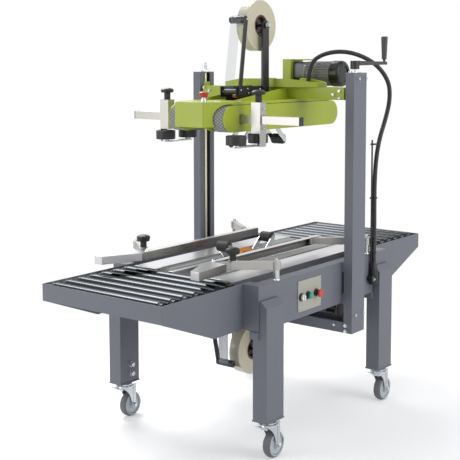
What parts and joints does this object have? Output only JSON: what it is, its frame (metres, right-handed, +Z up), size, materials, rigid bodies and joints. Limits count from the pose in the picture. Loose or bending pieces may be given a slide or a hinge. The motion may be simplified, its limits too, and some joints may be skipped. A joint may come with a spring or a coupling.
{
  "type": "semi-automatic carton sealer",
  "caption": "Case taping machine: roller beds, belt-driven centre table, swinging side guides and a green taping head that a crank raises between two columns.",
  "frame": {"origin": "on the floor at the centre of the four casters, under the centre line of the table", "axes": "+X along the carton's way from infeed to outfeed, -Y towards the operator's side with the crank and the control panel, +Z up"},
  "size_m": [1.77, 0.8633, 1.6815],
  "materials": {
    "frame_paint": "fine-textured dark blue-grey powder coat",
    "green_paint": "smooth lime green enamel",
    "stainless_sheet": "brushed",
    "bright_steel": "zinc plated or ground",
    "dark_zinc": "black satin coat",
    "aluminium": "satin extruded",
    "belt_rubber": "rough grip top",
    "black_plastic": "moulded",
    "motor_paint": "cast body, dark enamel",
    "grey_plate": "satin light grey",
    "red_plastic": "gloss",
    "grey_tyre": "smooth grey tread",
    "tape_film": "wound clear tape, pale straw"
  },
  "bodies": {
    "frame": {"centre_box": "frame_paint", "bed_frames": "frame_paint", "legs": "frame_paint", "deck": "stainless_sheet", "lower_belts": "belt_rubber", "lower_tape_head": "dark_zinc", "cross_member": "frame_paint", "columns": "frame_paint", "lead_screws": "bright_steel", "control_panel": "grey_plate", "guide_posts": "bright_steel", "conduit_gland": "black_plastic", "conduit": "black_plastic"},
    "head": {"head_housing": "green_paint", "belt_guards": "green_paint", "upper_belts": "belt_rubber", "cross_arm": "green_paint", "motor_platform": "green_paint", "motor": "motor_paint", "press_bar": "aluminium", "upper_tape_head": "dark_zinc", "upper_tape_stand": "dark_zinc"},
    "crank": {"crank": "black_plastic"},
    "infeed_roller_1": {"infeed_roller_1": "bright_steel"},
    "infeed_roller_2": {"infeed_roller_2": "bright_steel"},
    "infeed_roller_3": {"infeed_roller_3": "bright_steel"},
    "infeed_roller_4": {"infeed_roller_4": "bright_steel"},
    "infeed_roller_5": {"infeed_roller_5": "bright_steel"},
    "infeed_roller_6": {"infeed_roller_6": "bright_steel"},
    "infeed_roller_7": {"infeed_roller_7": "bright_steel"},
    "outfeed_roller_1": {"outfeed_roller_1": "bright_steel"},
    "outfeed_roller_2": {"outfeed_roller_2": "bright_steel"},
    "outfeed_roller_3": {"outfeed_roller_3": "bright_steel"},
    "outfeed_roller_4": {"outfeed_roller_4": "bright_steel"},
    "outfeed_roller_5": {"outfeed_roller_5": "bright_steel"},
    "outfeed_roller_6": {"outfeed_roller_6": "bright_steel"},
    "outfeed_roller_7": {"outfeed_roller_7": "bright_steel"},
    "near_infeed_caster_fork": {"near_infeed_caster_fork": "bright_steel"},
    "near_infeed_caster_wheel": {"near_infeed_caster_wheel": "grey_tyre"},
    "far_infeed_caster_fork": {"far_infeed_caster_fork": "bright_steel"},
    "far_infeed_caster_wheel": {"far_infeed_caster_wheel": "grey_tyre"},
    "near_outfeed_caster_fork": {"near_outfeed_caster_fork": "bright_steel"},
    "near_outfeed_caster_wheel": {"near_outfeed_caster_wheel": "grey_tyre"},
    "far_outfeed_caster_fork": {"far_outfeed_caster_fork": "bright_steel"},
    "far_outfeed_caster_wheel": {"far_outfeed_caster_wheel": "grey_tyre"},
    "near_front_guide_arm": {"near_front_guide_arm": "aluminium"},
    "near_rear_guide_arm": {"near_rear_guide_arm": "aluminium"},
    "near_guide_rail": {"near_guide_rail": "stainless_sheet"},
    "far_front_guide_arm": {"far_front_guide_arm": "aluminium"},
    "far_rear_guide_arm": {"far_rear_guide_arm": "aluminium"},
    "far_guide_rail": {"far_guide_rail": "stainless_sheet"},
    "near_press_block": {"near_press_block": "aluminium"},
    "far_press_block": {"far_press_block": "aluminium"},
    "upper_tape_roll": {"upper_tape_roll": "tape_film"},
    "lower_tape_roll": {"lower_tape_roll": "tape_film"},
    "upper_front_roller_arm": {"upper_front_roller_arm": "bright_steel"},
    "upper_rear_roller_arm": {"upper_rear_roller_arm": "bright_steel"},
    "lower_front_roller_arm": {"lower_front_roller_arm": "bright_steel"},
    "lower_rear_roller_arm": {"lower_rear_roller_arm": "bright_steel"},
    "emergency_stop": {"emergency_stop": "red_plastic"}
  },
  "joints": [
    {"name": "head_lift", "type": "slide", "parent": "frame", "child": "head", "axis": [0, 0, 1], "range_m": [-0.34, 0.03], "deforming": ["conduit"]},
    {"name": "crank_turn", "type": "hinge", "parent": "frame", "child": "crank", "pos_m": [0.145, -0.38, 1.43], "axis": [0, 0, 1], "continuous": true},
    {"name": "infeed_roller_1_spin", "type": "hinge", "parent": "frame", "child": "infeed_roller_1", "pos_m": [-0.485, 0, 0.631], "axis": [0, 1, 0], "continuous": true},
    {"name": "infeed_roller_2_spin", "type": "hinge", "parent": "frame", "child": "infeed_roller_2", "pos_m": [-0.546, 0, 0.631], "axis": [0, 1, 0], "continuous": true},
    {"name": "infeed_roller_3_spin", "type": "hinge", "parent": "frame", "child": "infeed_roller_3", "pos_m": [-0.607, 0, 0.631], "axis": [0, 1, 0], "continuous": true},
    {"name": "infeed_roller_4_spin", "type": "hinge", "parent": "frame", "child": "infeed_roller_4", "pos_m": [-0.668, 0, 0.631], "axis": [0, 1, 0], "continuous": true},
    {"name": "infeed_roller_5_spin", "type": "hinge", "parent": "frame", "child": "infeed_roller_5", "pos_m": [-0.729, 0, 0.631], "axis": [0, 1, 0], "continuous": true},
    {"name": "infeed_roller_6_spin", "type": "hinge", "parent": "frame", "child": "infeed_roller_6", "pos_m": [-0.79, 0, 0.631], "axis": [0, 1, 0], "continuous": true},
    {"name": "infeed_roller_7_spin", "type": "hinge", "parent": "frame", "child": "infeed_roller_7", "pos_m": [-0.851, 0, 0.631], "axis": [0, 1, 0], "continuous": true},
    {"name": "outfeed_roller_1_spin", "type": "hinge", "parent": "frame", "child": "outfeed_roller_1", "pos_m": [0.485, 0, 0.631], "axis": [0, 1, 0], "continuous": true},
    {"name": "outfeed_roller_2_spin", "type": "hinge", "parent": "frame", "child": "outfeed_roller_2", "pos_m": [0.546, 0, 0.631], "axis": [0, 1, 0], "continuous": true},
    {"name": "outfeed_roller_3_spin", "type": "hinge", "parent": "frame", "child": "outfeed_roller_3", "pos_m": [0.607, 0, 0.631], "axis": [0, 1, 0], "continuous": true},
    {"name": "outfeed_roller_4_spin", "type": "hinge", "parent": "frame", "child": "outfeed_roller_4", "pos_m": [0.668, 0, 0.631], "axis": [0, 1, 0], "continuous": true},
    {"name": "outfeed_roller_5_spin", "type": "hinge", "parent": "frame", "child": "outfeed_roller_5", "pos_m": [0.729, 0, 0.631], "axis": [0, 1, 0], "continuous": true},
    {"name": "outfeed_roller_6_spin", "type": "hinge", "parent": "frame", "child": "outfeed_roller_6", "pos_m": [0.79, 0, 0.631], "axis": [0, 1, 0], "continuous": true},
    {"name": "outfeed_roller_7_spin", "type": "hinge", "parent": "frame", "child": "outfeed_roller_7", "pos_m": [0.851, 0, 0.631], "axis": [0, 1, 0], "continuous": true},
    {"name": "near_infeed_caster_swivel", "type": "hinge", "parent": "frame", "child": "near_infeed_caster_fork", "pos_m": [-0.3975, -0.35845, 0.14], "axis": [0, 0, 1], "continuous": true},
    {"name": "near_infeed_caster_roll", "type": "hinge", "parent": "near_infeed_caster_fork", "child": "near_infeed_caster_wheel", "pos_m": [-0.3655, -0.35845, 0.05], "axis": [0, 1, 0], "continuous": true},
    {"name": "far_infeed_caster_swivel", "type": "hinge", "parent": "frame", "child": "far_infeed_caster_fork", "pos_m": [-0.3975, 0.35845, 0.14], "axis": [0, 0, 1], "continuous": true},
    {"name": "far_infeed_caster_roll", "type": "hinge", "parent": "far_infeed_caster_fork", "child": "far_infeed_caster_wheel", "pos_m": [-0.3655, 0.35845, 0.05], "axis": [0, 1, 0], "continuous": true},
    {"name": "near_outfeed_caster_swivel", "type": "hinge", "parent": "frame", "child": "near_outfeed_caster_fork", "pos_m": [0.3975, -0.35845, 0.14], "axis": [0, 0, 1], "continuous": true},
    {"name": "near_outfeed_caster_roll", "type": "hinge", "parent": "near_outfeed_caster_fork", "child": "near_outfeed_caster_wheel", "pos_m": [0.4295, -0.35845, 0.05], "axis": [0, 1, 0], "continuous": true},
    {"name": "far_outfeed_caster_swivel", "type": "hinge", "parent": "frame", "child": "far_outfeed_caster_fork", "pos_m": [0.3975, 0.35845, 0.14], "axis": [0, 0, 1], "continuous": true},
    {"name": "far_outfeed_caster_roll", "type": "hinge", "parent": "far_outfeed_caster_fork", "child": "far_outfeed_caster_wheel", "pos_m": [0.4295, 0.35845, 0.05], "axis": [0, 1, 0], "continuous": true},
    {"name": "near_guide_swing", "type": "hinge", "parent": "frame", "child": "near_front_guide_arm", "pos_m": [-0.33, -0.345, 0.7], "axis": [0, 0, 1], "range_deg": [-28, 26]},
    {"name": "near_rear_arm_swing", "type": "hinge", "parent": "frame", "child": "near_rear_guide_arm", "pos_m": [0.31, -0.345, 0.7], "axis": [0, 0, 1], "range_deg": [-28, 26]},
    {"name": "near_rail_pivot", "type": "hinge", "parent": "near_front_guide_arm", "child": "near_guide_rail", "pos_m": [-0.47, -0.164, 0.7], "axis": [0, 0, 1], "range_deg": [-26, 28]},
    {"name": "far_guide_swing", "type": "hinge", "parent": "frame", "child": "far_front_guide_arm", "pos_m": [-0.33, 0.345, 0.7], "axis": [0, 0, -1], "range_deg": [-28, 26]},
    {"name": "far_rear_arm_swing", "type": "hinge", "parent": "frame", "child": "far_rear_guide_arm", "pos_m": [0.31, 0.345, 0.7], "axis": [0, 0, -1], "range_deg": [-28, 26]},
    {"name": "far_rail_pivot", "type": "hinge", "parent": "far_front_guide_arm", "child": "far_guide_rail", "pos_m": [-0.47, 0.164, 0.7], "axis": [0, 0, -1], "range_deg": [-26, 28]},
    {"name": "near_press_slide", "type": "slide", "parent": "head", "child": "near_press_block", "axis": [0, -1, 0], "range_m": [-0.049, 0.156]},
    {"name": "far_press_slide", "type": "slide", "parent": "head", "child": "far_press_block", "axis": [0, 1, 0], "range_m": [-0.072, 0.138]},
    {"name": "upper_tape_roll_spin", "type": "hinge", "parent": "head", "child": "upper_tape_roll", "pos_m": [0.01, 0, 1.58], "axis": [0, 1, 0], "continuous": true},
    {"name": "lower_tape_roll_spin", "type": "hinge", "parent": "frame", "child": "lower_tape_roll", "pos_m": [-0.038, 0, 0.268], "axis": [0, 1, 0], "continuous": true},
    {"name": "upper_front_arm_swing", "type": "hinge", "parent": "head", "child": "upper_front_roller_arm", "pos_m": [-0.0185, 0, 1.215], "axis": [0, 1, 0], "range_deg": [0, 38], "stiffness_Nm_per_rad": 6, "springref_deg": -22.92},
    {"name": "upper_rear_arm_swing", "type": "hinge", "parent": "head", "child": "upper_rear_roller_arm", "pos_m": [0.0615, 0, 1.215], "axis": [0, 1, 0], "range_deg": [-38, 0]},
    {"name": "lower_front_arm_swing", "type": "hinge", "parent": "frame", "child": "lower_front_roller_arm", "pos_m": [-0.0965, 0, 0.613], "axis": [0, 1, 0], "range_deg": [-38, 0], "stiffness_Nm_per_rad": 12, "springref_deg": 28.65},
    {"name": "lower_rear_arm_swing", "type": "hinge", "parent": "frame", "child": "lower_rear_roller_arm", "pos_m": [-0.0165, 0, 0.613], "axis": [0, 1, 0], "range_deg": [0, 38]},
    {"name": "emergency_stop_push", "type": "slide", "parent": "head", "child": "emergency_stop", "axis": [0, 0, 1], "range_m": [-0.004, 0], "stiffness_N_per_m": 1500, "springref_m": 0.001}
  ],
  "couplings": [
    {"joint": "near_rear_arm_swing", "follows": "near_guide_swing", "ratio": 1},
    {"joint": "near_rail_pivot", "follows": "near_guide_swing", "ratio": -1},
    {"joint": "far_rear_arm_swing", "follows": "far_guide_swing", "ratio": 1},
    {"joint": "far_rail_pivot", "follows": "far_guide_swing", "ratio": -1},
    {"joint": "upper_rear_arm_swing", "follows": "upper_front_arm_swing", "ratio": -1},
    {"joint": "lower_rear_arm_swing", "follows": "lower_front_arm_swing", "ratio": -1}
  ]
}
